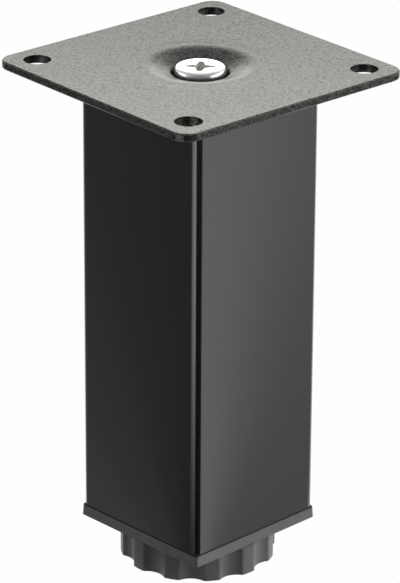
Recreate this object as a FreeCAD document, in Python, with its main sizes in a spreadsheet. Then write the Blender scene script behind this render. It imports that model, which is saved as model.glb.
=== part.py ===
import FreeCAD, Part
import math
import os

import Sketcher
from FreeCAD import Vector

# Square furniture leg: a screwed-on mounting plate with a pressed dish, a square tube,
# a ribbed end plug and a lobed foot that screws in and out for levelling.
# Millimetres and degrees. The foot stands on Z = 0 and the plate's top face is at leg_height.
SIZES = {
    # Overall, and the clearance that stands for a thread
    "leg_height": 125.5,
    "thread_clearance": 0.05,
    # Mounting plate, turned a little on its single screw
    "plate_width": 68.0,
    "plate_thickness": 2.0,
    "plate_corner_radius": 4.0,
    "plate_edge_break": 0.3,
    "plate_turn": -3.1,
    "hole_spacing": 54.0,
    "hole_diameter": 6.6,
    # Dish pressed into the middle of the plate
    "dish_rim_radius": 12.4,
    "dish_rim_rounding": 8.0,
    "dish_well_radius": 6.8,
    "dish_well_break": 0.35,
    "dish_shoulder_depth": 1.9,
    "dish_depth": 3.4,
    # Fixing screw through the dish
    "screw_diameter": 6.0,
    "screw_length": 12.0,
    "screw_tip_chamfer": 0.9,
    "screw_hole_diameter": 6.6,
    "head_diameter": 12.4,
    "head_thickness": 2.9,
    "head_edge_break": 0.35,
    "recess_wings": 4,
    "recess_width": 6.9,
    "recess_root_width": 3.4,
    "recess_tip_width": 1.1,
    "recess_depth": 1.7,
    "recess_taper": 10.0,
    "recess_core_radius": 1.0,
    "recess_point": 0.4,
    "screw_turn": 42.0,
    # Tapped plate welded across the top of the tube
    "nut_plate_thickness": 3.0,
    "nut_plate_corner_radius": 1.0,
    "nut_plate_gap": 0.3,
    "nut_plate_fit": 0.05,
    "nut_collar_diameter": 10.0,
    "nut_collar_height": 3.0,
    # Square tube
    "tube_width": 40.0,
    "tube_wall": 1.5,
    "tube_corner_radius": 2.0,
    "tube_least_inner_radius": 0.375,
    # Moulded plug in the bottom of the tube
    "flange_thickness": 3.0,
    "flange_overhang": 0.2,
    "flange_draft": 3.0,
    "flange_corner_radius": 0.9,
    "flange_edge_break": 0.4,
    "skirt_height": 22.0,
    "skirt_clearance": 0.8,
    "skirt_corner_cut": 1.2,
    "plug_wall": 2.0,
    "fin_count": 4,
    "fin_pitch": 4.8,
    "fin_first": 3.2,
    "fin_thickness": 0.9,
    "fin_clearance": 0.05,
    "boss_wall": 2.0,
    "boss_roof": 4.0,
    "web_thickness": 1.6,
    "web_height": 9.0,
    # Hexagon nut held in the plug
    "nut_width": 13.0,
    "nut_thickness": 6.5,
    "nut_recess": 0.2,
    "nut_fit": 0.05,
    "nut_chamfer_angle": 30.0,
    # Threaded stem, pressed by its collar into the foot
    "stem_diameter": 8.0,
    "stem_tip_chamfer": 1.2,
    "stem_bore_clearance": 0.3,
    "foot_travel": 15.0,
    "collar_diameter": 14.0,
    "collar_proud": 0.3,
    "collar_clearance": 0.05,
    # Lobed foot
    "foot_diameter": 38.0,
    "foot_height": 8.0,
    "foot_gap": 0.5,
    "foot_turn": 11.5,
    "foot_edge_break": 0.6,
    "lobe_count": 12,
    "scallop_depth": 1.45,
    "scallop_radius": 4.4,
    "lobe_rounding": 0.9,
    "socket_depth": 4.6,
    "foot_wall": 2.4,
    "hub_wall": 2.6,
    "core_depth": 4.4,
    "rib_count": 6,
    "rib_thickness": 1.8,
    "rib_setback": 0.6,
}
TOLERANCE = 1e-4
CORNERS = "4"

# Levels above the floor and shared widths, as formulas on the sheet
FLANGE_LEVEL = "(dims.foot_height + dims.foot_gap)"
TUBE_LEVEL = f"({FLANGE_LEVEL} + dims.flange_thickness)"
TUBE_LENGTH = f"(dims.leg_height - dims.plate_thickness - {TUBE_LEVEL})"
BORE_WIDTH = "(dims.tube_width - 2 * dims.tube_wall)"
SKIRT_WIDTH = f"({BORE_WIDTH} - 2 * dims.skirt_clearance)"
DISH_FLOOR = "(dims.dish_depth + dims.plate_thickness)"
DISH_SLOPE = "atan(dims.dish_shoulder_depth / (dims.dish_rim_radius - dims.dish_well_radius))"
RIM_REACH = f"(dims.dish_rim_rounding * tan({DISH_SLOPE} / 2))"
DISH_EDGE = f"(dims.dish_rim_radius + {RIM_REACH})"
NUT_CORNER_RADIUS = "((dims.nut_width + 2 * dims.nut_fit) / sqrt(3))"
BOSS_RADIUS = f"({NUT_CORNER_RADIUS} + dims.boss_wall)"
NUT_POCKET_DEPTH = "(dims.nut_thickness + dims.nut_recess)"
BOSS_HEIGHT = f"({NUT_POCKET_DEPTH} + dims.boss_roof - dims.flange_thickness)"
SOCKET_RADIUS = "(dims.collar_diameter / 2 + dims.collar_clearance)"
HUB_RADIUS = f"({SOCKET_RADIUS} + dims.hub_wall)"
FOOT_RIM = "(dims.foot_diameter / 2)"
CORE_RADIUS = f"({FOOT_RIM} - dims.scallop_depth - dims.foot_wall)"

doc = FreeCAD.newDocument("square_leg")
sheet = doc.addObject("Spreadsheet::Sheet", "dims")
for row, (alias, value) in enumerate(SIZES.items(), 1):
    sheet.set(f"A{row}", alias)
    sheet.set(f"B{row}", str(value))
    sheet.setAlias(f"B{row}", alias)
doc.recompute()


def size(alias):
    """Current number in the sheet."""
    return float(sheet.get(alias))


def worth(formula):
    """Number that a formula on the sheet gives now."""
    return float(sheet.evalExpression(formula))


def settle():
    """Bring the document up to date, and mark what is up to date as done."""
    doc.recompute()
    for item in doc.Objects:
        item.purgeTouched()


def new_body(label, level, turn=None):
    """Body for one piece, lifted to its level and turned about the leg's axis."""
    body = doc.addObject("PartDesign::Body", label)
    body.Label = label
    body.Placement = FreeCAD.Placement(Vector(), FreeCAD.Rotation(Vector(0, 0, 1), 0))
    body.setExpression("Placement.Base.z", level)
    if turn:
        body.Placement = FreeCAD.Placement(Vector(), FreeCAD.Rotation(Vector(0, 0, 1), size(turn)))
        body.setExpression("Placement.Rotation.Angle", f"dims.{turn} * 1 deg")
    return body


def origin_feature(body, role):
    """Plane or axis of the body's own origin."""
    return next(item for item in body.Origin.OriginFeatures if item.Role == role)


def new_sketch(body, role, lift=None):
    """Sketch on one of the body's own origin planes, lifted along its normal."""
    sketch = body.newObject("Sketcher::SketchObject", f"{body.Label}_sketch")
    sketch.AttachmentSupport = [(origin_feature(body, role), "")]
    sketch.MapMode = "FlatFace"
    if lift:
        sketch.setExpression("AttachmentOffset.Base.z", lift)
    return sketch


def pin_point(sketch, item, end, x, y):
    """Hold one point of the sketch at the formulas x and y from the origin."""
    for kind, formula, axis in (("DistanceX", x, -2), ("DistanceY", y, -1)):
        if formula == "0":
            sketch.addConstraint(Sketcher.Constraint("PointOnObject", item, end, axis))
        else:
            index = sketch.addConstraint(Sketcher.Constraint(kind, -1, 1, item, end, worth(formula)))
            sketch.setExpression(f"Constraints[{index}]", formula)


def add_circle(sketch, radius, x="0", y="0"):
    """Circle of a formula's radius about a pinned centre."""
    centre = Vector(worth(x), worth(y), 0)
    item = sketch.addGeometry(Part.Circle(centre, Vector(0, 0, 1), worth(radius)), False)
    pin_point(sketch, item, 3, x, y)
    index = sketch.addConstraint(Sketcher.Constraint("Radius", item, worth(radius)))
    sketch.setExpression(f"Constraints[{index}]", radius)


def add_side(sketch, start, end, radius=None):
    """Line or arc, with the numbers of its first and its last point; a minus turns the arc clockwise."""
    if radius is None:
        return sketch.addGeometry(Part.LineSegment(start, end), False), 1, 2
    bend = worth(radius)
    chord = end - start
    left = Vector(-chord.y, chord.x, 0).normalize()
    bulge = abs(bend) - math.sqrt(bend**2 - chord.Length**2 / 4)
    middle = (start + end) / 2 - left * math.copysign(bulge, bend)
    first, last = (1, 2) if bend > 0 else (2, 1)
    arc = Part.Arc(start, middle, end) if bend > 0 else Part.Arc(end, middle, start)
    item = sketch.addGeometry(arc, False)
    index = sketch.addConstraint(Sketcher.Constraint("Radius", item, abs(bend)))
    sketch.setExpression(f"Constraints[{index}]", radius.lstrip("-"))
    return item, first, last


def add_outline(sketch, points):
    """Closed outline through points given as formulas; a third one is the radius of an arc to the next."""
    spots = [Vector(worth(x), worth(y), 0) for x, y, *_ in points]
    sides = []
    for start, end, (_, _, *radius) in zip(spots, spots[1:] + spots[:1], points):
        sides.append(add_side(sketch, start, end, *radius))
    for (item, first, last), following, (x, y, *_) in zip(sides, sides[1:] + sides[:1], points):
        sketch.addConstraint(Sketcher.Constraint("Coincident", item, last, following[0], following[1]))
        pin_point(sketch, item, first, x, y)


def add_square(sketch, width):
    """Square centred on the origin."""
    half = f"({width}) / 2"
    add_outline(sketch, [(f"-{half}", f"-{half}"), (half, f"-{half}"), (half, half), (f"-{half}", half)])


def add_cut_square(sketch, width, cut):
    """Square centred on the origin with its corners cut off."""
    half = f"({width}) / 2"
    side = f"(({width}) / 2 - {cut})"
    right = [(half, f"-{side}"), (half, side)]
    left = [(f"-{half}", side), (f"-{half}", f"-{side}")]
    top = [(side, half), (f"-{side}", half)]
    bottom = [(f"-{side}", f"-{half}"), (side, f"-{half}")]
    add_outline(sketch, right + top + left + bottom)


def add_arm(sketch, inner, outer, thickness):
    """Rectangle along the X axis from the inner to the outer radius."""
    half = f"{thickness} / 2"
    add_outline(sketch, [(inner, f"-{half}"), (outer, f"-{half}"), (outer, half), (inner, half)])


def pad(body, sketch, length, down=False):
    """Pad a sketch of the body."""
    feature = body.newObject("PartDesign::Pad", f"{body.Label}_pad")
    feature.Profile = sketch
    feature.Reversed = down
    feature.setExpression("Length", length)
    settle()
    return feature


def check_cut(body, feature, before):
    """Stop if a cut took nothing away."""
    settle()
    if feature.Shape.Volume > before - TOLERANCE:
        raise RuntimeError(f"{body.Label}: {feature.Name} cuts nothing")
    return feature


def pocket(body, sketch, depth=None, up=False, taper=None):
    """Pocket a sketch of the body to a depth, or right through where none is given."""
    settle()
    before = body.Shape.Volume
    feature = body.newObject("PartDesign::Pocket", f"{body.Label}_pocket")
    feature.Profile = sketch
    feature.Reversed = up
    if taper:
        feature.setExpression("TaperAngle", taper)
    if depth:
        feature.setExpression("Length", depth)
    else:
        feature.Type = "ThroughAll"
    return check_cut(body, feature, before)


def revolve(body, points):
    """Solid turned about the leg's axis from an outline in the XZ plane."""
    sketch = new_sketch(body, "XZ_Plane")
    add_outline(sketch, points)
    feature = body.newObject("PartDesign::Revolution", f"{body.Label}_turned")
    feature.Profile = sketch
    feature.ReferenceAxis = (sketch, ["V_Axis"])
    feature.Angle = 360
    settle()
    return feature


def groove(body, points):
    """Cut turned about the leg's axis from an outline in the XZ plane."""
    settle()
    before = body.Shape.Volume
    sketch = new_sketch(body, "XZ_Plane")
    add_outline(sketch, points)
    feature = body.newObject("PartDesign::Groove", f"{body.Label}_groove")
    feature.Profile = sketch
    feature.ReferenceAxis = (sketch, ["V_Axis"])
    feature.Angle = 360
    return check_cut(body, feature, before)


def around(body, feature, count):
    """Repeat a feature evenly around the leg's axis."""
    pattern = body.newObject("PartDesign::PolarPattern", f"{body.Label}_around")
    pattern.Originals = [feature]
    pattern.Axis = (origin_feature(body, "Z_Axis"), [""])
    pattern.Angle = 360
    pattern.setExpression("Occurrences", count)
    body.Tip = pattern
    settle()
    return pattern


def dress_edges(body, kind, measure, formula, wanted):
    """Fillet or chamfer the edges of the body so far that the test picks out."""
    settle()
    base = body.Tip
    names = [f"Edge{index}" for index, edge in enumerate(base.Shape.Edges, 1) if wanted(edge)]
    if not names:
        raise RuntimeError(f"{body.Label}: no edge for a {kind}")
    feature = body.newObject(f"PartDesign::{kind}", f"{body.Label}_{kind.lower()}")
    feature.Base = (base, names)
    feature.setExpression(measure, formula)
    settle()


def round_edges(body, radius, wanted):
    """Fillet to a formula's radius."""
    dress_edges(body, "Fillet", "Radius", radius, wanted)


def break_edges(body, width, wanted):
    """Chamfer to a formula's width."""
    dress_edges(body, "Chamfer", "Size", width, wanted)


def upright_faces(feature):
    """Names of the flat faces that stand along the leg's axis."""
    faces = enumerate(feature.Shape.Faces, 1)
    return [f"Face{index}" for index, face in faces if abs(face.normalAt(0, 0).z) < TOLERANCE]


def square_corner(edge):
    """Upright edge on a diagonal of the square section."""
    ends = [vertex.Point for vertex in edge.Vertexes]
    diagonal = all(abs(abs(point.x) - abs(point.y)) < TOLERANCE for point in ends)
    return len(ends) == 2 and diagonal and abs(ends[0].z - ends[1].z) > TOLERANCE


def outline_at(level):
    """Test for the edges of the outer outline at a level: its lines and arcs, no full circles."""
    def wanted(edge):
        flat = all(abs(vertex.Point.z - level) < TOLERANCE for vertex in edge.Vertexes)
        return flat and not edge.isClosed()
    return wanted


def hexagon(width):
    """Corner points of a hexagon of the given width across its flats."""
    reach = f"({width}) / sqrt(3)"
    flat = f"({width}) / 2"
    half = f"({width}) / sqrt(12)"
    upper = [(half, flat), (f"-{half}", flat)]
    lower = [(f"-{half}", f"-{flat}"), (half, f"-{flat}")]
    return [(reach, "0"), *upper, (f"-{reach}", "0"), *lower]


def make_mounting_plate():
    """Pressed steel plate: Z = 0 is its top face."""
    body = new_body("mounting_plate", "dims.leg_height", "plate_turn")
    blank = new_sketch(body, "XY_Plane")
    add_square(blank, "dims.plate_width")
    pad(body, blank, "dims.plate_thickness", down=True)
    round_edges(body, "dims.plate_corner_radius", square_corner)
    for level in (0, -size("plate_thickness")):
        break_edges(body, "dims.plate_edge_break", outline_at(level))
    opening = new_sketch(body, "XY_Plane")
    add_circle(opening, DISH_EDGE)
    pocket(body, opening)
    # The sheet dips in the middle, at about its own thickness, to a floor with a hole for the screw.
    hole = "dims.screw_hole_diameter / 2"
    well = "dims.dish_well_radius"
    bulge = "dims.dish_well_radius + dims.plate_thickness"
    edge = "dims.dish_well_break"
    revolve(body, [
        (hole, f"-{DISH_FLOOR}"),
        (f"{bulge} - {edge}", f"-{DISH_FLOOR}"),
        (bulge, f"{edge} - {DISH_FLOOR}"),
        (bulge, "-(dims.dish_shoulder_depth + dims.plate_thickness)"),
        (DISH_EDGE, "-dims.plate_thickness"),
        (DISH_EDGE, "0", "dims.dish_rim_rounding"),
        (f"dims.dish_rim_radius - {RIM_REACH} * cos({DISH_SLOPE})", f"-{RIM_REACH} * sin({DISH_SLOPE})"),
        (f"{well} + {edge} * cos({DISH_SLOPE})", f"{edge} * sin({DISH_SLOPE}) - dims.dish_shoulder_depth"),
        (well, f"-(dims.dish_shoulder_depth + {edge})"),
        (well, "-dims.dish_depth"),
        (hole, "-dims.dish_depth"),
    ])
    corner_hole = new_sketch(body, "XY_Plane")
    add_circle(corner_hole, "dims.hole_diameter / 2", "dims.hole_spacing / 2", "dims.hole_spacing / 2")
    around(body, pocket(body, corner_hole), CORNERS)
    return body


def make_fixing_screw():
    """Flat-headed machine screw with a cross recess: Z = 0 is the underside of its head."""
    body = new_body("fixing_screw", "dims.leg_height - dims.dish_depth", "screw_turn")
    shank = "dims.screw_diameter / 2"
    head = "dims.head_diameter / 2"
    top = "dims.head_thickness"
    revolve(body, [
        ("0", top),
        (f"{head} - dims.head_edge_break", top),
        (head, f"{top} - dims.head_edge_break"),
        (head, "0"),
        (shank, "0"),
        (shank, "-(dims.screw_length - dims.screw_tip_chamfer)"),
        (f"{shank} - dims.screw_tip_chamfer", "-dims.screw_length"),
        ("0", "-dims.screw_length"),
    ])
    # The wings narrow outwards and downwards, and a point for the driver's tip lies where they meet.
    wing = new_sketch(body, "XY_Plane", top)
    core = "dims.recess_core_radius"
    reach = "dims.recess_width / 2"
    root = "dims.recess_root_width / 2"
    tip = "dims.recess_tip_width / 2"
    add_outline(wing, [(f"-{core}", f"-{root}"), (reach, f"-{tip}"), (reach, tip), (f"-{core}", root)])
    around(body, pocket(body, wing, "dims.recess_depth", taper="-dims.recess_taper"), "dims.recess_wings")
    foot = f"{top} - dims.recess_depth"
    groove(body, [("0", foot), ("0", f"{foot} - dims.recess_point"), (core, foot)])
    return body


def make_nut_plate():
    """Tapped steel plate across the tube: Z = 0 is its top face."""
    body = new_body("nut_plate", f"dims.leg_height - {DISH_FLOOR} - dims.nut_plate_gap")
    blank = new_sketch(body, "XY_Plane")
    add_square(blank, f"{BORE_WIDTH} - 2 * dims.nut_plate_fit")
    pad(body, blank, "dims.nut_plate_thickness", down=True)
    round_edges(body, "dims.nut_plate_corner_radius", square_corner)
    collar = new_sketch(body, "XY_Plane", "-dims.nut_plate_thickness")
    add_circle(collar, "dims.nut_collar_diameter / 2")
    pad(body, collar, "dims.nut_collar_height", down=True)
    hole = new_sketch(body, "XY_Plane")
    add_circle(hole, "dims.screw_diameter / 2 + dims.thread_clearance")
    pocket(body, hole)
    return body


def make_leg_tube():
    """Square tube with rounded corners inside and out: Z = 0 is its lower end."""
    body = new_body("leg_tube", TUBE_LEVEL)
    outside = new_sketch(body, "XY_Plane")
    add_square(outside, "dims.tube_width")
    pad(body, outside, TUBE_LENGTH)
    round_edges(body, "dims.tube_corner_radius", square_corner)
    inside = new_sketch(body, "XY_Plane")
    add_square(inside, BORE_WIDTH)
    pocket(body, inside, up=True)
    inner_radius = "max(dims.tube_corner_radius - dims.tube_wall; dims.tube_least_inner_radius)"
    round_edges(body, inner_radius, square_corner)
    return body


def make_end_plug():
    """Plug with a flange, gripping fins and a boss for the nut: Z = 0 is the flange's underside."""
    body = new_body("end_plug", FLANGE_LEVEL)
    flange = new_sketch(body, "XY_Plane")
    add_square(flange, "dims.tube_width + 2 * dims.flange_overhang")
    block = pad(body, flange, "dims.flange_thickness")
    draft = body.newObject("PartDesign::Draft", "flange_draft")
    draft.Base = (block, upright_faces(block))
    draft.NeutralPlane = (origin_feature(body, "XY_Plane"), [""])
    draft.setExpression("Angle", "dims.flange_draft")
    round_edges(body, "dims.flange_corner_radius", square_corner)
    break_edges(body, "dims.flange_edge_break", outline_at(size("flange_thickness")))
    skirt = new_sketch(body, "XY_Plane", "dims.flange_thickness")
    add_cut_square(skirt, SKIRT_WIDTH, "dims.skirt_corner_cut")
    pad(body, skirt, "dims.skirt_height")
    fin = new_sketch(body, "XY_Plane", "dims.flange_thickness + dims.fin_first")
    add_cut_square(fin, f"{BORE_WIDTH} - 2 * dims.fin_clearance", "dims.skirt_corner_cut")
    fins = body.newObject("PartDesign::LinearPattern", "fins")
    fins.Originals = [pad(body, fin, "dims.fin_thickness")]
    fins.Direction = (fin, ["N_Axis"])
    fins.setExpression("Length", "dims.fin_pitch * (dims.fin_count - 1)")
    fins.setExpression("Occurrences", "dims.fin_count")
    body.Tip = fins
    hollow = new_sketch(body, "XY_Plane", "dims.flange_thickness + dims.skirt_height")
    add_square(hollow, f"{SKIRT_WIDTH} - 2 * dims.plug_wall")
    pocket(body, hollow, "dims.skirt_height")
    boss = new_sketch(body, "XY_Plane", "dims.flange_thickness")
    add_circle(boss, BOSS_RADIUS)
    pad(body, boss, BOSS_HEIGHT)
    web = new_sketch(body, "XY_Plane", "dims.flange_thickness")
    add_arm(web, NUT_CORNER_RADIUS, f"({SKIRT_WIDTH} - dims.plug_wall) / 2", "dims.web_thickness")
    around(body, pad(body, web, "dims.web_height"), CORNERS)
    nut_pocket = new_sketch(body, "XY_Plane")
    add_outline(nut_pocket, hexagon("dims.nut_width + 2 * dims.nut_fit"))
    pocket(body, nut_pocket, NUT_POCKET_DEPTH, up=True)
    bore = new_sketch(body, "XY_Plane")
    add_circle(bore, "dims.stem_diameter / 2 + dims.stem_bore_clearance")
    pocket(body, bore, up=True)
    return body


def make_plug_nut():
    """Hexagon nut against the roof of its pocket: Z = 0 is its underside."""
    body = new_body("plug_nut", f"{FLANGE_LEVEL} + dims.nut_recess")
    blank = new_sketch(body, "XY_Plane")
    add_outline(blank, hexagon("dims.nut_width"))
    pad(body, blank, "dims.nut_thickness")
    # The corners are turned away at both ends, from the width across the flats outwards.
    flat = "dims.nut_width / 2"
    corner = "dims.nut_width / sqrt(3)"
    rise = f"({corner} - {flat}) * tan(dims.nut_chamfer_angle * 1 deg)"
    groove(body, [(flat, "0"), (corner, "0"), (corner, rise)])
    top = "dims.nut_thickness"
    groove(body, [(flat, top), (corner, top), (corner, f"{top} - {rise}")])
    bore = new_sketch(body, "XY_Plane")
    add_circle(bore, "dims.stem_diameter / 2 + dims.thread_clearance")
    pocket(body, bore, up=True)
    return body


def make_adjuster_stem():
    """Stem with a round collar, in the nut over its whole travel: Z = 0 is its lower end."""
    seat = "(dims.foot_height - dims.socket_depth + dims.collar_clearance)"
    body = new_body("adjuster_stem", seat)
    shank = "dims.stem_diameter / 2"
    collar = "dims.collar_diameter / 2"
    collar_top = f"(dims.foot_height + dims.collar_proud - {seat})"
    top = f"({FLANGE_LEVEL} + {NUT_POCKET_DEPTH} + dims.foot_travel + dims.stem_tip_chamfer - {seat})"
    revolve(body, [
        ("0", "0"),
        (collar, "0"),
        (collar, collar_top),
        (shank, collar_top),
        (shank, f"{top} - dims.stem_tip_chamfer"),
        (f"{shank} - dims.stem_tip_chamfer", top),
        ("0", top),
    ])
    return body


def make_adjuster_foot():
    """Moulded foot with finger lobes, cored out below: Z = 0 is the floor."""
    body = new_body("adjuster_foot", "0", "foot_turn")
    disc = new_sketch(body, "XY_Plane")
    add_circle(disc, FOOT_RIM)
    pad(body, disc, "dims.foot_height")
    # A scallop runs into the rim on both sides through a rounding that touches both.
    lobe_reach = f"({FOOT_RIM} - dims.lobe_rounding)"
    scallop_reach = f"({FOOT_RIM} - dims.scallop_depth + dims.scallop_radius)"
    span = "(dims.scallop_radius + dims.lobe_rounding)"
    centre_x = f"(({lobe_reach}^2 + {scallop_reach}^2 - {span}^2) / (2 * {scallop_reach}))"
    centre_y = f"sqrt({lobe_reach}^2 - {centre_x}^2)"
    rim_x = f"{centre_x} * {FOOT_RIM} / {lobe_reach}"
    rim_y = f"{centre_y} * {FOOT_RIM} / {lobe_reach}"
    groove_x = f"{centre_x} + ({scallop_reach} - {centre_x}) * dims.lobe_rounding / {span}"
    groove_y = f"{centre_y} * dims.scallop_radius / {span}"
    outside = f"{FOOT_RIM} + dims.scallop_depth"
    scallop = new_sketch(body, "XY_Plane")
    add_outline(scallop, [
        (outside, f"-{rim_y}"),
        (outside, rim_y),
        (rim_x, rim_y, "-dims.lobe_rounding"),
        (groove_x, groove_y, "dims.scallop_radius"),
        (groove_x, f"-{groove_y}", "-dims.lobe_rounding"),
        (rim_x, f"-{rim_y}"),
    ])
    around(body, pocket(body, scallop, up=True), "dims.lobe_count")
    # The lobes' upper ends are turned away at 45 degrees.
    top = "dims.foot_height"
    edge = "dims.foot_edge_break"
    beyond = f"{FOOT_RIM} + {edge}"
    groove(body, [(f"{FOOT_RIM} - {edge}", top), (beyond, f"{top} - 2 * {edge}"), (beyond, top)])
    core = new_sketch(body, "XY_Plane")
    add_circle(core, CORE_RADIUS)
    add_circle(core, HUB_RADIUS)
    pocket(body, core, "dims.core_depth", up=True)
    rib = new_sketch(body, "XY_Plane", "dims.rib_setback")
    middle_of_hub = f"{HUB_RADIUS} - dims.hub_wall / 2"
    add_arm(rib, middle_of_hub, f"{CORE_RADIUS} + dims.foot_wall / 2", "dims.rib_thickness")
    around(body, pad(body, rib, "dims.core_depth - dims.rib_setback"), "dims.rib_count")
    socket = new_sketch(body, "XY_Plane", "dims.foot_height")
    add_circle(socket, SOCKET_RADIUS)
    pocket(body, socket, "dims.socket_depth")
    return body


pieces = [
    make_mounting_plate(),
    make_fixing_screw(),
    make_nut_plate(),
    make_leg_tube(),
    make_end_plug(),
    make_plug_nut(),
    make_adjuster_stem(),
    make_adjuster_foot(),
]
doc.recompute()

for item in doc.Objects:
    if "Invalid" in item.State or "Error" in item.State:
        raise RuntimeError(f"{item.Name} failed: {item.State}")
for piece in pieces:
    shape = piece.Shape
    if shape.isNull() or not shape.isValid() or len(shape.Solids) != 1:
        raise RuntimeError(f"{piece.Label} is not one valid solid")

os.makedirs("parts", exist_ok=True)
for piece in pieces:
    piece.Shape.exportStep(f"parts/{piece.Label}.step")
    box = piece.Shape.optimalBoundingBox(False, False)
    print(f"{piece.Label}: {piece.Shape.Volume:.1f} mm3, Z {box.ZMin:.2f} to {box.ZMax:.2f}")
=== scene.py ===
import math

import bmesh
import bpy
from mathutils import Matrix, Vector


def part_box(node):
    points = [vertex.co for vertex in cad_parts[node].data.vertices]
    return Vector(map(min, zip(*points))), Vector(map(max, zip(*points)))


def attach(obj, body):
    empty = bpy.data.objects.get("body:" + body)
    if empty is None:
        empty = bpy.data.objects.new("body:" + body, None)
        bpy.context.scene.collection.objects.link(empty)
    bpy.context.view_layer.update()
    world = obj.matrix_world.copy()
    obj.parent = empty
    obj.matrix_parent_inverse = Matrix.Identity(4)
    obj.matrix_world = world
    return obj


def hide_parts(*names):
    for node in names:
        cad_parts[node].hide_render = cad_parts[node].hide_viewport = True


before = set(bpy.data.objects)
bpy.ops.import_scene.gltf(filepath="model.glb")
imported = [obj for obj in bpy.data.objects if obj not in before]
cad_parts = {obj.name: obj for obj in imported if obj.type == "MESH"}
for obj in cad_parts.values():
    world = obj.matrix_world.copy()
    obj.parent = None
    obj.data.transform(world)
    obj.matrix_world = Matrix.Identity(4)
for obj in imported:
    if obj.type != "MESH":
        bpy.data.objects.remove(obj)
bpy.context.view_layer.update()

# Camera, in degrees, metres and millimetres of lens: it looks down on the leg's near corner.
CAMERA_AZIMUTH = -44.233
CAMERA_ELEVATION = 23.090
CAMERA_ROLL = -0.317
CAMERA_DISTANCE = 0.8936
CAMERA_AIM = Vector((0.00015, -0.00015, 0.06796))
CAMERA_LENS = 231.02
CAMERA_SENSOR = 36.0

# Studio, in metres. Bearings are degrees from +X towards +Y, seen from above.
# The floor lies just below the foot when it is screwed right out.
FLOOR_LEVEL = -0.0155
FLOOR_SIZE = 8.0
FLOOR_WHITE = 0.6
FLOOR_GLOW = 0.985

# Sky, in levels of white: paler near the horizon, and darker in front, as shiny faces mirror it
SKY_HORIZON = 1.0
SKY_ZENITH = 0.5
SKY_ZENITH_RISE = 0.8
SKY_FILL = 0.05
FRONT_BEARING = 226.0
FRONT_SHARE = 0.3
FRONT_EDGE = (0.2, 0.8)

# Soft lights: the level that they shed on matt faces, and the gleam that shiny ones mirror.
# The gleam stands a little nearer than the light.
WHITE = (1.0, 1.0, 1.0)
WARM_WHITE = (1.0, 0.985, 0.93)
GLEAM_GAP = 0.02
SOFT_LIGHTS = {
    "back": {
        "bearing": 46.0, "elevation": 12.0, "distance": 1.3, "size": (1.0, 0.75),
        "light": 2.15, "gleam": 2.3, "tone": WARM_WHITE,
    },
    "right": {
        "bearing": 312.0, "elevation": 16.0, "distance": 1.2, "size": (1.6, 0.8),
        "light": 6.2, "gleam": 1.7, "tone": WHITE,
    },
    "left": {
        "bearing": 138.0, "elevation": 16.0, "distance": 1.3, "size": (0.8, 0.6),
        "light": 4.4, "gleam": 1.7, "tone": WHITE,
    },
}

# Cards round the foot, seen only in reflections: light by bearing about the tube's near corner,
# and its share by distance from there.
CARD_CENTRE = Vector((-0.019, -0.019, 0.0004))
ALL_OVER = ((0.0, 1.0), (0.6, 1.0))
FADING = ((0.0, 0.05), (0.03, 0.12), (0.066, 0.3), (0.15, 0.78), (0.25, 1.0), (0.6, 1.0))
SHADED = ((0.0, 0.8), (0.03, 0.94), (0.15, 1.0), (0.6, 1.0))
FLOOR_CARDS = {
    "left_card": (((95, 0.27), (118, 0.21), (127, 0.12), (132, 0.06), (136, 0.02), (142, 0.0)), ALL_OVER),
    "corner_card": (((144, 0.5), (154, 1.3), (180, 2.0), (194, 2.5), (200, 2.4)), FADING),
    "front_card": (((202, 0.0), (282, 0.0)), ALL_OVER),
    "right_card": (((285, 1.05), (313, 1.05), (316, 0.96), (319, 0.68), (323, 0.47), (345, 0.36)), SHADED),
}

# Finishes. Textures have scales in cells to a metre, and bumps have heights in metres and strengths.
MIDDLE = (0.3, 0.7)

# Powder coat of the plate, with painted shade on its upright edges
PLATE_VALUES = {"IOR": 1.5, "Specular Tint": (1.0, 0.985, 0.92, 1.0)}
PLATE_COLOURS = ((0.034, 0.034, 0.032), (0.066, 0.065, 0.062))
PLATE_EDGE_SHADE_SHARE = (0.1, 1.0)
PLATE_SHINE = (0.12, 0.88)
PLATE_SHINE_RANGE = (0.35, 0.65)
PLATE_ROUGHNESS = (0.3, 0.4)
PLATE_SPECK = {"scale": 1500, "roughness": 0.6}
PLATE_SPECK_BUMP = (0.00008, 0.8)
PLATE_GRAIN = {"scale": 6000}
PLATE_GRAIN_BUMP = (0.00002, 0.6)

# Slight hollow of the whole plate and soft rim of its dish, in metres
PLATE_SAG = 0.0009
PLATE_REACH = 0.04
RIM_RADIUS = 0.0145
RIM_REACH = 0.0035
RIM_SOFTNESS = 0.00005
FULL_STRENGTH = 1.0

# Smooth coat of the tube, under a clear gloss
TUBE_VALUES = {"IOR": 1.5, "Coat Weight": 1.0, "Coat Roughness": 0.12, "Coat IOR": 1.5}
TUBE_COLOURS = ((0.0070, 0.0070, 0.0071), (0.0090, 0.0090, 0.0091))
TUBE_ROUGHNESS = (0.2, 0.27)
TUBE_DUST = {"scale": 5200}
TUBE_PEEL = {"scale": 420}
TUBE_PEEL_BUMP = (0.000004, 0.5)
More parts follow.
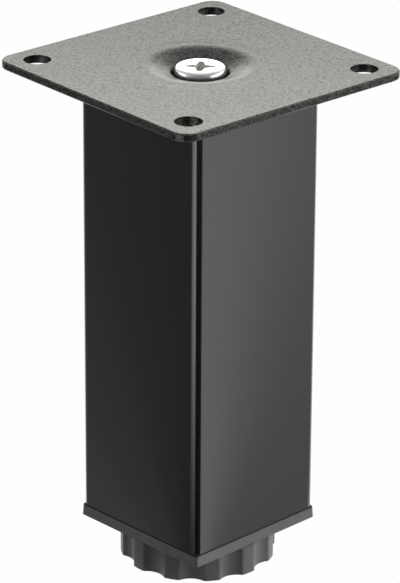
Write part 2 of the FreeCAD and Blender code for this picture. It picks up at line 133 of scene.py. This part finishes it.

# Plastic of the plug, with painted shade on the edges that face up, and of the foot, with painted shade in
# its scallops and under the flange
PLASTIC_GRAIN_BUMP = (0.00001, 0.4)
PLUG_VALUES = {"IOR": 1.48}
PLUG_COLOURS = ((0.090, 0.090, 0.091), (0.104, 0.104, 0.105))
PLUG_TOP_SHADE_SHARE = (1.0, 0.2)
PLUG_TOP_SHADE_SHINE = (0.5, 0.1)
PLUG_TOP_RANGE = (0.3, 0.6)
PLUG_ROUGHNESS = (0.25, 0.34)
PLUG_GRAIN = {"scale": 3800, "detail": 3.0, "roughness": 0.6}
PLUG_CLOUD = {"scale": 120}
FOOT_VALUES = {"IOR": 1.48, "Specular IOR Level": 0.14}
FOOT_COLOURS = ((0.095, 0.095, 0.096), (0.110, 0.110, 0.111))
FOOT_HOLLOW_REACH = 0.004
FOOT_HOLLOW_SAMPLES = 8
FOOT_HOLLOW_SHADE_SHARE = (0.35, 1.0)
FOOT_HOLLOW_RANGE = (0.3, 0.8)
FOOT_ROUGHNESS = (0.3, 0.42)
FOOT_GRAIN = {"scale": 3000, "detail": 3.0, "roughness": 0.6}
FOOT_CLOUD = {"scale": 150}

# Bare and plated metals: dark and light of their mottle, roughness, and height of the relief
METAL_MOTTLE = {"scale": 900, "detail": 3.0, "roughness": 0.6}
METAL_BUMP_STRENGTH = 0.3
METALS = {
    "thread_plating": (((0.56, 0.56, 0.55), (0.68, 0.68, 0.67)), (0.32, 0.42), 0.000008),
    "screw_plating": (((0.8, 0.8, 0.78), (0.88, 0.88, 0.86)), (0.18, 0.24), 0.000002),
    # The recess's plating is rougher, and the dark end of its mottle is painted shade in the recess
    "recess_plating_and_shade": (((0.65, 0.65, 0.64), (0.92, 0.92, 0.9)), (0.55, 0.7), 0.000008),
    "plain_steel": (((0.36, 0.36, 0.37), (0.46, 0.46, 0.46)), (0.35, 0.5), 0.000008),
}

# Fixing screw, in metres and degrees. The rounding of its head is inward, then down.
SCREW_TURN = 42.0
SCREW_SIDES = 64
HEAD_THICKNESS = 0.0029
HEAD_ROUNDING = (0.0008, 0.0015)
ROUNDING_STEPS = 6
SHANK_RADIUS = 0.003
SHANK_CHAMFER = 0.0009
RECESS_WINGS = 4
RECESS_REACH = 0.00345
RECESS_ROOT = 0.0017
RECESS_TIP = 0.00055
RECESS_CORE = 0.001
RECESS_DEPTH = 0.0017
RECESS_POINT = 0.0004
RECESS_TAPER = 10.0

# Threaded stem, in metres. The flats at the thread's crest and root are shares of its pitch.
THREAD_RADIUS = 0.004
THREAD_PITCH = 0.00125
THREAD_DEPTH = 0.00068
THREAD_CREST = 1 / 6
THREAD_ROOT = 1 / 6
COLLAR_TOP = 0.0083
TIP_CHAMFER = 0.0012
THREAD_SIDES = 40
RINGS_PER_PITCH = 12

# Least angle of an edge that stays sharp, in degrees
SHARP_ANGLE = 40.0


def toward(bearing, elevation):
    """Unit direction of a bearing and an elevation in degrees."""
    turn, rise = math.radians(bearing), math.radians(elevation)
    return Vector((math.cos(turn) * math.cos(rise), math.sin(turn) * math.cos(rise), math.sin(rise)))


def add_node(tree, kind, values=None, **settings):
    """New shader node with its settings, and values on its inputs."""
    node = tree.nodes.new(f"ShaderNode{kind}")
    for name, value in settings.items():
        setattr(node, name, value)
    for name, value in (values or {}).items():
        node.inputs[name].default_value = value
    return node


def link(tree, source, output, target, socket):
    """Join one node's output to another's input."""
    tree.links.new(source.outputs[output], target.inputs[socket])


def new_finish(name, values):
    """Material with a Principled shader, and the values that are the same all over it."""
    material = bpy.data.materials.new(name)
    material.use_nodes = True
    tree = material.node_tree
    shader = tree.nodes["Principled BSDF"]
    for socket, value in values.items():
        shader.inputs[socket].default_value = value
    return material, tree, shader


def new_light_material(name):
    """Material that only shines, and its tree and emission."""
    material = bpy.data.materials.new(name)
    material.use_nodes = True
    tree = material.node_tree
    tree.nodes.remove(tree.nodes["Principled BSDF"])
    emission = add_node(tree, "Emission", {"Color": (1, 1, 1, 1), "Strength": 1.0})
    return material, tree, emission


def add_noise(tree, scale, detail=2.0, roughness=0.5):
    """Noise in the object's own coordinates."""
    place = add_node(tree, "TexCoord")
    noise = add_node(tree, "TexNoise", {"Scale": scale, "Detail": detail, "Roughness": roughness})
    link(tree, place, "Object", noise, "Vector")
    return noise


def spread(tree, source, output, values, over=MIDDLE):
    """Map a range of an output onto a range of values."""
    limits = {"From Min": over[0], "From Max": over[1], "To Min": values[0], "To Max": values[1]}
    node = add_node(tree, "MapRange", limits)
    link(tree, source, output, node, "Value")
    return node


def tint(tree, noise, colours):
    """Colour that runs from dark to light over a noise's middle range."""
    ramp = add_node(tree, "ValToRGB")
    for stop, position, colour in zip(ramp.color_ramp.elements, MIDDLE, colours):
        stop.position = position
        stop.color = (*colour, 1)
    link(tree, noise, "Fac", ramp, "Fac")
    return ramp


def set_roughness(tree, shader, noise, values):
    """Roughness that follows a noise."""
    gloss = spread(tree, noise, "Fac", values)
    link(tree, gloss, "Result", shader, "Roughness")


def add_bumps(tree, shader, *layers):
    """Bumps on top of each other, each from a node's output, with a height and a strength."""
    below = None
    for source, output, (height, strength) in layers:
        bump = add_node(tree, "Bump", {"Distance": height, "Strength": strength})
        link(tree, source, output, bump, "Height")
        if below:
            link(tree, below, "Normal", bump, "Normal")
        below = bump
    link(tree, below, "Normal", shader, "Normal")


def facing_up(tree):
    """How far a surface faces up, as Z from -1 to 1."""
    surface = add_node(tree, "NewGeometry")
    split = add_node(tree, "SeparateXYZ")
    link(tree, surface, "Normal", split, "Vector")
    return split


def paint_shade(tree, shader, colour, level):
    """Painted shade: lower a colour by a level from 0 to 1."""
    shaded = add_node(tree, "VectorMath", operation="SCALE")
    link(tree, colour, "Color", shaded, 0)
    link(tree, level, "Result", shaded, "Scale")
    link(tree, shaded, "Vector", shader, "Base Color")


def add_plate_form(tree):
    """Square of the distance from the plate's middle, and how far a point is from the dish's rim."""
    place = add_node(tree, "TexCoord")
    flat = add_node(tree, "VectorMath", {1: (1, 1, 0)}, operation="MULTIPLY")
    link(tree, place, "Object", flat, 0)
    square = add_node(tree, "VectorMath", operation="DOT_PRODUCT")
    link(tree, flat, 0, square, 0)
    link(tree, flat, 0, square, 1)
    radius = add_node(tree, "Math", operation="SQRT")
    link(tree, square, "Value", radius, 0)
    past = add_node(tree, "Math", {1: RIM_RADIUS}, operation="SUBTRACT")
    link(tree, radius, 0, past, 0)
    off = add_node(tree, "Math", operation="ABSOLUTE")
    link(tree, past, 0, off, 0)
    ring = spread(tree, off, 0, (0.0, 1.0), (0.0, RIM_REACH))
    ring.interpolation_type = "SMOOTHSTEP"
    return square, ring


def make_plate_coat():
    """Black powder coat with a fine texture, and painted shade on its upright edges."""
    material, tree, shader = new_finish("plate_coat", PLATE_VALUES)
    grain = add_noise(tree, **PLATE_GRAIN)
    speck = add_noise(tree, **PLATE_SPECK)
    sparkle = spread(tree, speck, "Fac", PLATE_SHINE, PLATE_SHINE_RANGE)
    link(tree, sparkle, "Result", shader, "Specular IOR Level")
    # Painted shade: the upright edges, which face sideways, get a darker colour
    level = add_node(tree, "Math", operation="ABSOLUTE")
    link(tree, facing_up(tree), "Z", level, 0)
    paint_shade(tree, shader, tint(tree, speck, PLATE_COLOURS), spread(tree, level, 0, PLATE_EDGE_SHADE_SHARE))
    set_roughness(tree, shader, speck, PLATE_ROUGHNESS)
    square, ring = add_plate_form(tree)
    add_bumps(
        tree,
        shader,
        (square, "Value", (PLATE_SAG / PLATE_REACH ** 2, FULL_STRENGTH)),
        (ring, "Result", (RIM_SOFTNESS, FULL_STRENGTH)),
        (speck, "Fac", PLATE_SPECK_BUMP),
        (grain, "Fac", PLATE_GRAIN_BUMP),
    )
    return material


def make_tube_coat():
    """Smooth satin black powder coat under a clear gloss."""
    material, tree, shader = new_finish("tube_coat", TUBE_VALUES)
    peel = add_noise(tree, **TUBE_PEEL)
    dust = add_noise(tree, **TUBE_DUST)
    link(tree, tint(tree, dust, TUBE_COLOURS), "Color", shader, "Base Color")
    set_roughness(tree, shader, dust, TUBE_ROUGHNESS)
    add_bumps(tree, shader, (peel, "Fac", TUBE_PEEL_BUMP))
    return material


def make_plug_plastic():
    """Black moulded plastic with a fine spark-eroded grain, with painted shade and less shine on the faces
    that face up.
    """
    material, tree, shader = new_finish("plug_plastic", PLUG_VALUES)
    grain = add_noise(tree, **PLUG_GRAIN)
    cloud = add_noise(tree, **PLUG_CLOUD)
    # Painted shade: faces that face up, such as the edge below the tube's end, get a darker colour and less
    # shine
    facing = facing_up(tree)
    level = spread(tree, facing, "Z", PLUG_TOP_SHADE_SHARE, PLUG_TOP_RANGE)
    paint_shade(tree, shader, tint(tree, cloud, PLUG_COLOURS), level)
    shine = spread(tree, facing, "Z", PLUG_TOP_SHADE_SHINE, PLUG_TOP_RANGE)
    link(tree, shine, "Result", shader, "Specular IOR Level")
    set_roughness(tree, shader, grain, PLUG_ROUGHNESS)
    add_bumps(tree, shader, (grain, "Fac", PLASTIC_GRAIN_BUMP))
    return material


def make_foot_plastic():
    """Black moulded plastic, duller than the plug's, with painted shade in its scallops and under the
    flange.
    """
    material, tree, shader = new_finish("foot_plastic", FOOT_VALUES)
    grain = add_noise(tree, **FOOT_GRAIN)
    cloud = add_noise(tree, **FOOT_CLOUD)
    # Painted shade: ambient occlusion darkens the colour in the scallops and under the flange
    hollow = add_node(tree, "AmbientOcclusion", {"Distance": FOOT_HOLLOW_REACH}, samples=FOOT_HOLLOW_SAMPLES)
    level = spread(tree, hollow, "AO", FOOT_HOLLOW_SHADE_SHARE, FOOT_HOLLOW_RANGE)
    paint_shade(tree, shader, tint(tree, cloud, FOOT_COLOURS), level)
    set_roughness(tree, shader, grain, FOOT_ROUGHNESS)
    add_bumps(tree, shader, (grain, "Fac", PLASTIC_GRAIN_BUMP))
    return material


def make_metal(name, colours, roughness, relief):
    """Bare or plated metal with a faint mottle."""
    material, tree, shader = new_finish(name, {"Metallic": 1.0})
    mottle = add_noise(tree, **METAL_MOTTLE)
    link(tree, tint(tree, mottle, colours), "Color", shader, "Base Color")
    set_roughness(tree, shader, mottle, roughness)
    add_bumps(tree, shader, (mottle, "Fac", (relief, METAL_BUMP_STRENGTH)))
    return material


def dress(node, material):
    """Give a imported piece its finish."""
    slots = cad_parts[node].data.materials
    slots.clear()
    slots.append(material)


def add_to_scene(name, data):
    """New object in the scene."""
    item = bpy.data.objects.new(name, data)
    bpy.context.scene.collection.objects.link(item)
    return item


def new_mesh(name, points, faces):
    """Object from points and faces, in the scene."""
    mesh = bpy.data.meshes.new(name)
    mesh.from_pydata(points, [], faces)
    mesh.update()
    return add_to_scene(name, mesh)


def add_loop(mesh, points):
    """Closed ring of new corners in a mesh that is being built."""
    return [mesh.verts.new(point) for point in points]


def bridge(mesh, lower, upper, finish=0):
    """Faces between two rings with as many corners."""
    count = len(lower)
    for place in range(count):
        following = (place + 1) % count
        face = mesh.faces.new((lower[place], lower[following], upper[following], upper[place]))
        face.material_index = finish


def fan(mesh, ring, tip, finish=0):
    """Faces from a ring to one point."""
    middle = mesh.verts.new(tip)
    for place, corner in enumerate(ring):
        face = mesh.faces.new((corner, ring[(place + 1) % len(ring)], middle))
        face.material_index = finish


def ring_points(radius, level, sides):
    """Points evenly around the leg's axis."""
    return [radius * toward(360 * side / sides, 0) + Vector((0, 0, level)) for side in range(sides)]


def finish_piece(name, mesh, materials, node, body):
    """Put a built mesh in the scene in place of a solid, smooth but for its sharp edges."""
    bmesh.ops.recalc_face_normals(mesh, faces=mesh.faces)
    data = bpy.data.meshes.new(name)
    mesh.to_mesh(data)
    mesh.free()
    for material in materials:
        data.materials.append(material)
    data.shade_smooth()
    data.set_sharp_from_angle(angle=math.radians(SHARP_ANGLE))
    piece = add_to_scene(name, data)
    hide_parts(node)
    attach(piece, body)


def recess_outline(inset, level):
    """Corners of the screw's cross recess, drawn in by an inset, at a level."""
    slope = (RECESS_ROOT - RECESS_TIP) / (RECESS_REACH + RECESS_CORE)
    root = RECESS_ROOT - inset * math.hypot(1, slope)
    reach = RECESS_REACH - inset
    tip = root - slope * (reach + RECESS_CORE)
    corner = (root - slope * RECESS_CORE) / (1 + slope)
    lift = Vector((0, 0, level))
    points = []
    for wing in range(RECESS_WINGS):
        bearing = SCREW_TURN + 360 * wing / RECESS_WINGS
        along = toward(bearing, 0)
        across = toward(bearing + 90, 0)
        points.append(lift + reach * along - tip * across)
        points.append(lift + reach * along + tip * across)
        points.append(lift + corner * (along + across))
    return points


def make_screw(plating, recess_plating_and_shade):
    """Screw with a rounded head and a cross recess, in place of the plain solid."""
    low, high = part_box("fixing_screw")
    bottom, top, head = low[2], high[2], high[0]
    profile = [
        (SHANK_RADIUS - SHANK_CHAMFER, bottom),
        (SHANK_RADIUS, bottom + SHANK_CHAMFER),
        (SHANK_RADIUS, top - HEAD_THICKNESS),
        (head, top - HEAD_THICKNESS),
    ]
    for step in range(ROUNDING_STEPS + 1):
        turn = math.pi / 2 * step / ROUNDING_STEPS
        inward = HEAD_ROUNDING[0] * (1 - math.cos(turn))
        down = HEAD_ROUNDING[1] * (1 - math.sin(turn))
        profile.append((head - inward, top - down))
    mesh = bmesh.new()
    rings = [add_loop(mesh, ring_points(radius, level, SCREW_SIDES)) for radius, level in profile]
    for lower, upper in zip(rings, rings[1:]):
        bridge(mesh, lower, upper)
    fan(mesh, rings[0], (0, 0, bottom))
    mouth = add_loop(mesh, recess_outline(0, top))
    inset = RECESS_DEPTH * math.tan(math.radians(RECESS_TAPER))
    floor = add_loop(mesh, recess_outline(inset, top - RECESS_DEPTH))
    # The recess walls take the recess finish, with its painted shade
    bridge(mesh, mouth, floor, 1)
    fan(mesh, floor, (0, 0, top - RECESS_DEPTH - RECESS_POINT), 1)
    borders = [edge for edge in mesh.edges if len(edge.link_faces) == 1]
    bmesh.ops.triangle_fill(mesh, edges=borders, use_beauty=True, use_dissolve=False)
    finish_piece("recessed_screw", mesh, [plating, recess_plating_and_shade], "fixing_screw", "leg")


def thread_radius(turn, rise):
    """Radius of the stem's right-hand thread at a turn in whole turns and a rise in metres."""
    off_crest = abs((rise / THREAD_PITCH - turn) % 1.0 - 0.5)
    flank = (1 - THREAD_CREST - THREAD_ROOT) / 2
    drop = (off_crest - THREAD_CREST / 2) / flank
    return THREAD_RADIUS - THREAD_DEPTH * min(1.0, max(0.0, drop))


def make_stem(material):
    """Stem with its thread and its round collar, in place of the plain solid."""
    low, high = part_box("adjuster_stem")
    bottom, top, collar = low[2], high[2], high[0]
    steps = math.ceil((top - COLLAR_TOP) / THREAD_PITCH * RINGS_PER_PITCH)
    mesh = bmesh.new()
    rings = [add_loop(mesh, ring_points(collar, level, THREAD_SIDES)) for level in (bottom, COLLAR_TOP)]
    for step in range(steps + 1):
        level = COLLAR_TOP + (top - COLLAR_TOP) * step / steps
        limit = THREAD_RADIUS - max(0.0, level - (top - TIP_CHAMFER))
        points = []
        for side in range(THREAD_SIDES):
            radius = min(limit, thread_radius(side / THREAD_SIDES, level))
            points.append(radius * toward(360 * side / THREAD_SIDES, 0) + Vector((0, 0, level)))
        rings.append(add_loop(mesh, points))
    for lower, upper in zip(rings, rings[1:]):
        bridge(mesh, lower, upper)
    fan(mesh, rings[0], (0, 0, bottom))
    fan(mesh, rings[-1], (0, 0, top))
    finish_piece("threaded_stem", mesh, [material], "adjuster_stem", "stem")


def make_floor():
    """Pale floor: white where it is seen or mirrored, with the object's faint shadow on it."""
    half = FLOOR_SIZE / 2
    corners = [(x, y, FLOOR_LEVEL) for x, y in ((-half, -half), (half, -half), (half, half), (-half, half))]
    floor = new_mesh("floor", corners, [(0, 1, 2, 3)])
    material, tree, white = new_light_material("floor_white")
    matt = add_node(tree, "BsdfDiffuse", {"Color": (FLOOR_WHITE, FLOOR_WHITE, FLOOR_WHITE, 1)})
    path = add_node(tree, "LightPath")
    seen = add_node(tree, "Math", operation="ADD")
    link(tree, path, "Is Camera Ray", seen, 0)
    link(tree, path, "Is Glossy Ray", seen, 1)
    through = add_node(tree, "Math", operation="ADD", use_clamp=True)
    link(tree, seen, 0, through, 0)
    link(tree, path, "Is Transmission Ray", through, 1)
    share = add_node(tree, "Math", {1: FLOOR_GLOW}, operation="MULTIPLY")
    link(tree, through, 0, share, 0)
    mix = add_node(tree, "MixShader")
    link(tree, share, 0, mix, 0)
    link(tree, matt, 0, mix, 1)
    link(tree, white, 0, mix, 2)
    link(tree, mix, 0, tree.nodes["Material Output"], "Surface")
    floor.data.materials.append(material)


def make_floor_card(name, sweep, rings):
    """Card that only shows in reflections, with a light that changes over it."""
    points = []
    lights = []
    for bearing, light in sweep:
        for reach, share in rings:
            points.append(CARD_CENTRE + reach * toward(bearing, 0))
            lights.append(light * share)
    row = len(rings)
    faces = []
    for start in range(0, len(points) - row, row):
        for place in range(start, start + row - 1):
            faces.append((place, place + 1, place + row + 1, place + row))
    card = new_mesh(name, points, faces)
    card.data.attributes.new("light", "FLOAT", "POINT").data.foreach_set("value", lights)
    material, tree, emission = new_light_material(name)
    level = add_node(tree, "Attribute", attribute_name="light")
    link(tree, level, "Fac", emission, "Strength")
    link(tree, emission, "Emission", tree.nodes["Material Output"], "Surface")
    card.data.materials.append(material)
    card.visible_camera = False
    card.visible_diffuse = False
    card.visible_transmission = False
    card.visible_shadow = False


def make_soft_light(name, bearing, elevation, distance, size, light, gleam, tone):
    """Even rectangular light that faces the middle of the leg, and its gleam."""
    away = toward(bearing, elevation)
    for part, level, gap in (("light", light, 0.0), ("gleam", gleam, GLEAM_GAP)):
        lamp = bpy.data.lights.new(f"{name}_{part}", "AREA")
        lamp.shape = "RECTANGLE"
        lamp.size, lamp.size_y = size
        lamp.energy = level * math.pi * size[0] * size[1]
        lamp.color = tone
        item = add_to_scene(lamp.name, lamp)
        item.location = CAMERA_AIM + (distance - gap) * away
        item.rotation_euler = away.to_track_quat("Z", "Y").to_euler()
        item.visible_camera = False
        item.visible_glossy = part == "gleam"
        item.visible_diffuse = part == "light"


def make_sky():
    """White backdrop, a sky that shiny faces mirror, and a little light on the matt ones."""
    world = bpy.data.worlds.new("studio")
    bpy.context.scene.world = world
    world.use_nodes = True
    tree = world.node_tree
    background = tree.nodes["Background"]
    place = add_node(tree, "TexCoord")
    split = add_node(tree, "SeparateXYZ")
    link(tree, place, "Generated", split, "Vector")
    level = spread(tree, split, "Z", (SKY_HORIZON, SKY_ZENITH), (0.0, SKY_ZENITH_RISE))
    front = add_node(tree, "VectorMath", {1: toward(FRONT_BEARING, 0)}, operation="DOT_PRODUCT")
    link(tree, place, "Generated", front, 0)
    share = spread(tree, front, "Value", (1.0, FRONT_SHARE), FRONT_EDGE)
    both = add_node(tree, "Math", operation="MULTIPLY")
    link(tree, level, "Result", both, 0)
    link(tree, share, "Result", both, 1)
    path = add_node(tree, "LightPath")
    mirrored = add_node(tree, "Math", operation="MAXIMUM")
    link(tree, path, "Is Glossy Ray", mirrored, 0)
    link(tree, path, "Is Transmission Ray", mirrored, 1)
    shown = add_node(tree, "Math", operation="MULTIPLY")
    link(tree, both, 0, shown, 0)
    link(tree, mirrored, 0, shown, 1)
    filled = add_node(tree, "Math", {1: SKY_FILL}, operation="MAXIMUM")
    link(tree, shown, 0, filled, 0)
    strength = add_node(tree, "Math", operation="MAXIMUM")
    link(tree, filled, 0, strength, 0)
    link(tree, path, "Is Camera Ray", strength, 1)
    background.inputs["Color"].default_value = (1, 1, 1, 1)
    link(tree, strength, 0, background, "Strength")


def make_camera():
    """Camera that looks down on the leg, with a small roll."""
    turn, rise, roll = (math.radians(angle) for angle in (CAMERA_AZIMUTH, CAMERA_ELEVATION, CAMERA_ROLL))
    back = Vector((math.sin(turn) * math.cos(rise), -math.cos(turn) * math.cos(rise), math.sin(rise)))
    level_right = Vector((math.cos(turn), math.sin(turn), 0))
    level_up = back.cross(level_right)
    right = math.cos(roll) * level_right - math.sin(roll) * level_up
    up = back.cross(right)
    data = bpy.data.cameras.new("camera")
    data.lens = CAMERA_LENS
    data.sensor_fit = "VERTICAL"
    data.sensor_height = CAMERA_SENSOR
    camera = add_to_scene("camera", data)
    spot = CAMERA_AIM + CAMERA_DISTANCE * back
    camera.matrix_world = Matrix.Translation(spot) @ Matrix((right, up, back)).transposed().to_4x4()
    bpy.context.scene.camera = camera


def main():
    """Dress the leg, and set up the studio round it."""
    bpy.context.scene.view_settings.view_transform = "Standard"
    metals = {name: make_metal(name, *values) for name, values in METALS.items()}
    dress("mounting_plate", make_plate_coat())
    dress("leg_tube", make_tube_coat())
    dress("end_plug", make_plug_plastic())
    dress("adjuster_foot", make_foot_plastic())
    dress("plug_nut", metals["thread_plating"])
    dress("nut_plate", metals["plain_steel"])
    make_stem(metals["thread_plating"])
    make_screw(metals["screw_plating"], metals["recess_plating_and_shade"])
    make_floor()
    for name, (sweep, rings) in FLOOR_CARDS.items():
        make_floor_card(name, sweep, rings)
    for name, values in SOFT_LIGHTS.items():
        make_soft_light(name, **values)
    make_sky()
    make_camera()


main()
